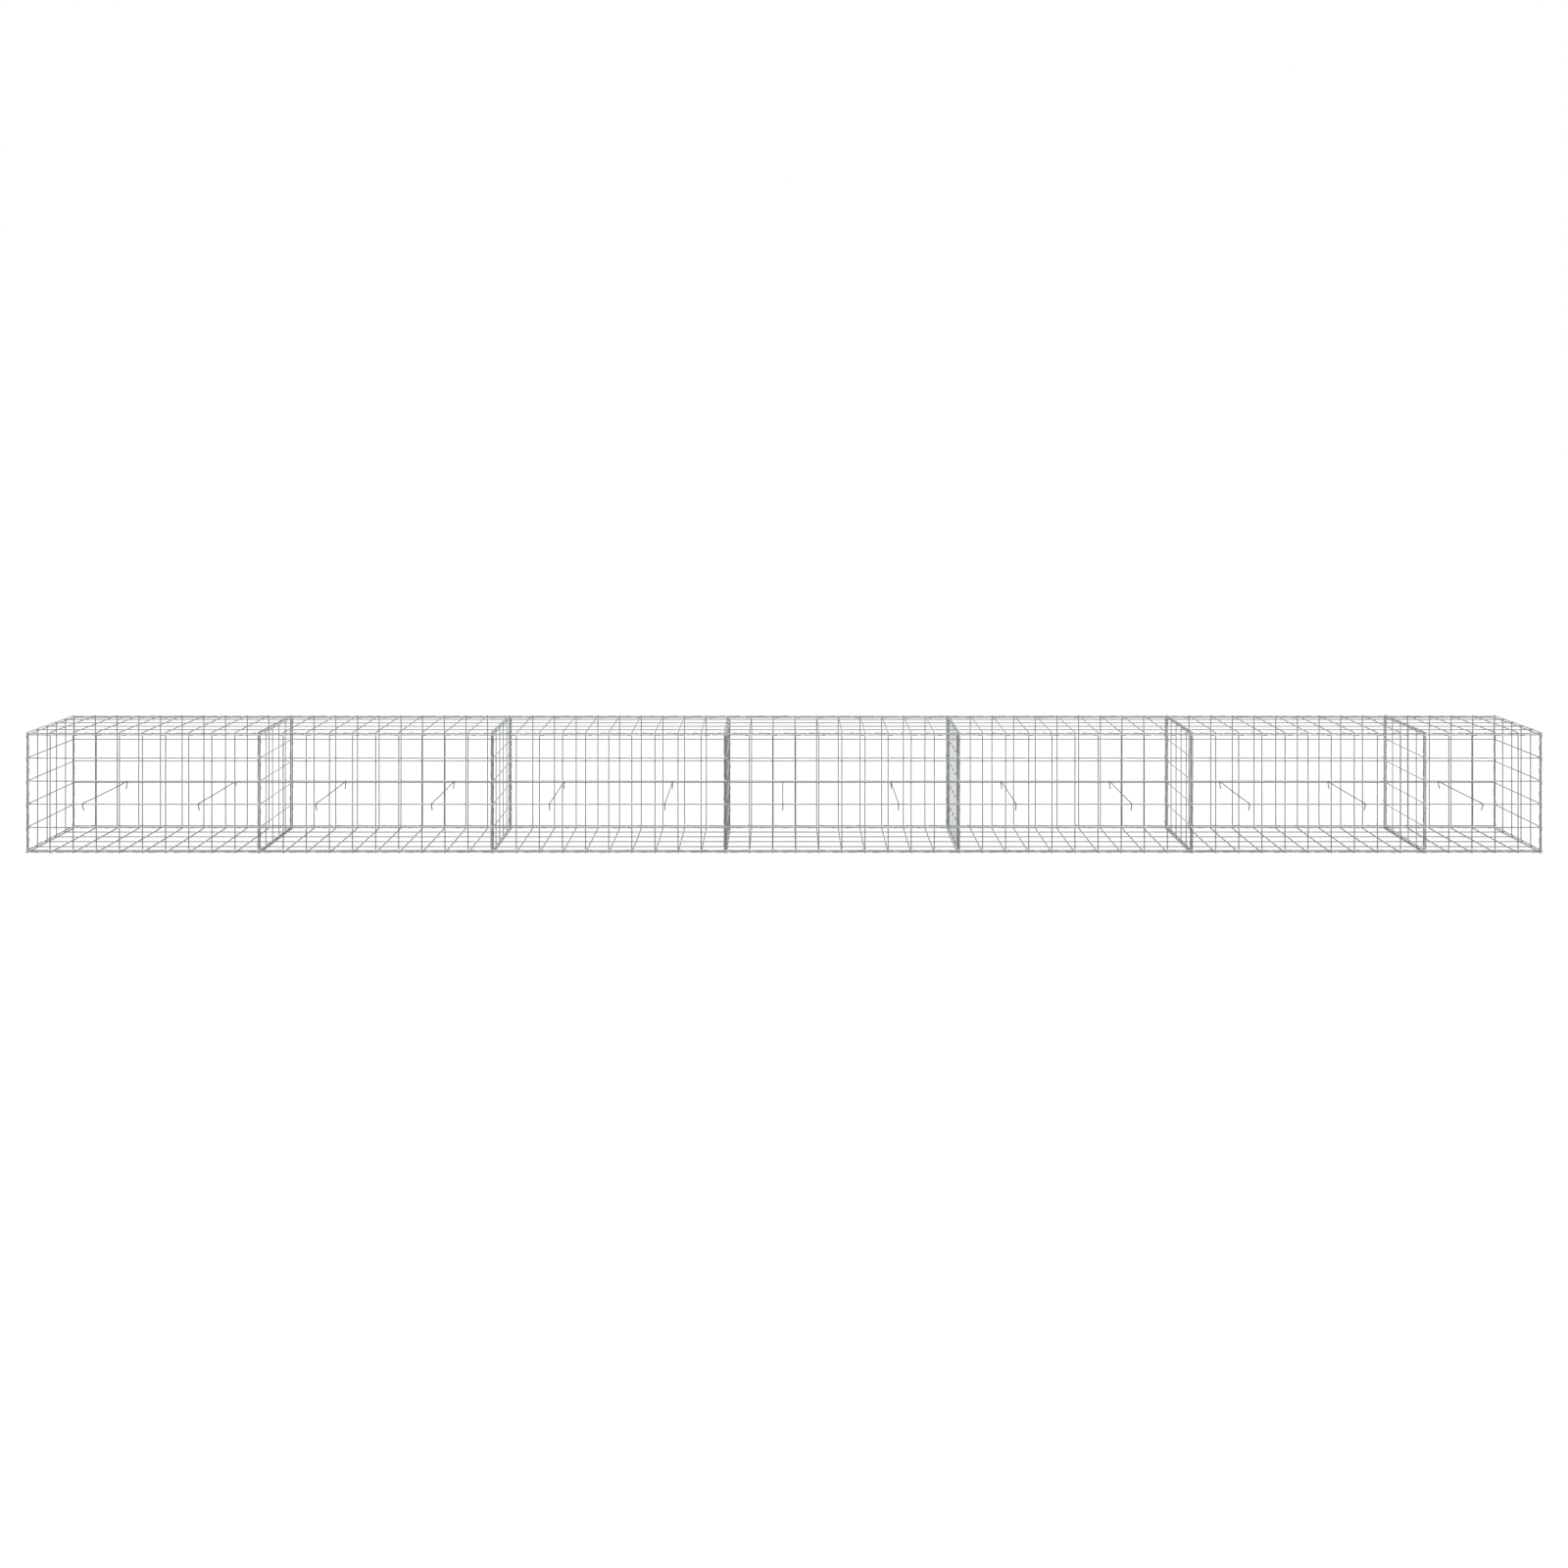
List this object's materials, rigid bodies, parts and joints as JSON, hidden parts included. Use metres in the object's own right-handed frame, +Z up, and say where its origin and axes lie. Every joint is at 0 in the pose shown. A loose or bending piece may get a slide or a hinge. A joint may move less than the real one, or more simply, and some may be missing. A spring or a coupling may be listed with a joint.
{
  "type": "gabion wall basket, empty, with lid",
  "caption": "Long, low gabion wall basket of galvanised welded mesh, in bays divided by partitions, with a lid and hooked cross ties.",
  "frame": {"origin": "centre of the footprint, on the floor plane under the base wires", "axes": "+X along the wall towards its short bay, -Y out of the front face, +Z up"},
  "size_m": [6.5608, 0.5258, 0.523],
  "materials": {
    "mesh_wire": "hot-dip galvanised, matt",
    "tie_wire": "galvanised, satin"
  },
  "bodies": {
    "root": {"base_panel_1": "mesh_wire", "base_panel_2": "mesh_wire", "base_panel_3": "mesh_wire", "base_panel_4": "mesh_wire", "base_panel_5": "mesh_wire", "base_panel_6": "mesh_wire", "base_panel_7": "mesh_wire", "front_panel_1": "mesh_wire", "front_panel_2": "mesh_wire", "front_panel_3": "mesh_wire", "front_panel_4": "mesh_wire", "front_panel_5": "mesh_wire", "front_panel_6": "mesh_wire", "front_panel_7": "mesh_wire", "rear_panel_1": "mesh_wire", "rear_panel_2": "mesh_wire", "rear_panel_3": "mesh_wire", "rear_panel_4": "mesh_wire", "rear_panel_5": "mesh_wire", "rear_panel_6": "mesh_wire", "rear_panel_7": "mesh_wire", "lid_panel_1": "mesh_wire", "lid_panel_2": "mesh_wire", "lid_panel_3": "mesh_wire", "lid_panel_4": "mesh_wire", "lid_panel_5": "mesh_wire", "lid_panel_6": "mesh_wire", "lid_panel_7": "mesh_wire", "partition_1": "mesh_wire", "partition_2": "mesh_wire", "partition_3": "mesh_wire", "partition_4": "mesh_wire", "partition_5": "mesh_wire", "partition_6": "mesh_wire", "end_panel_left": "mesh_wire", "end_panel_right": "mesh_wire", "cross_ties": "tie_wire"}
  },
  "joints": []
}
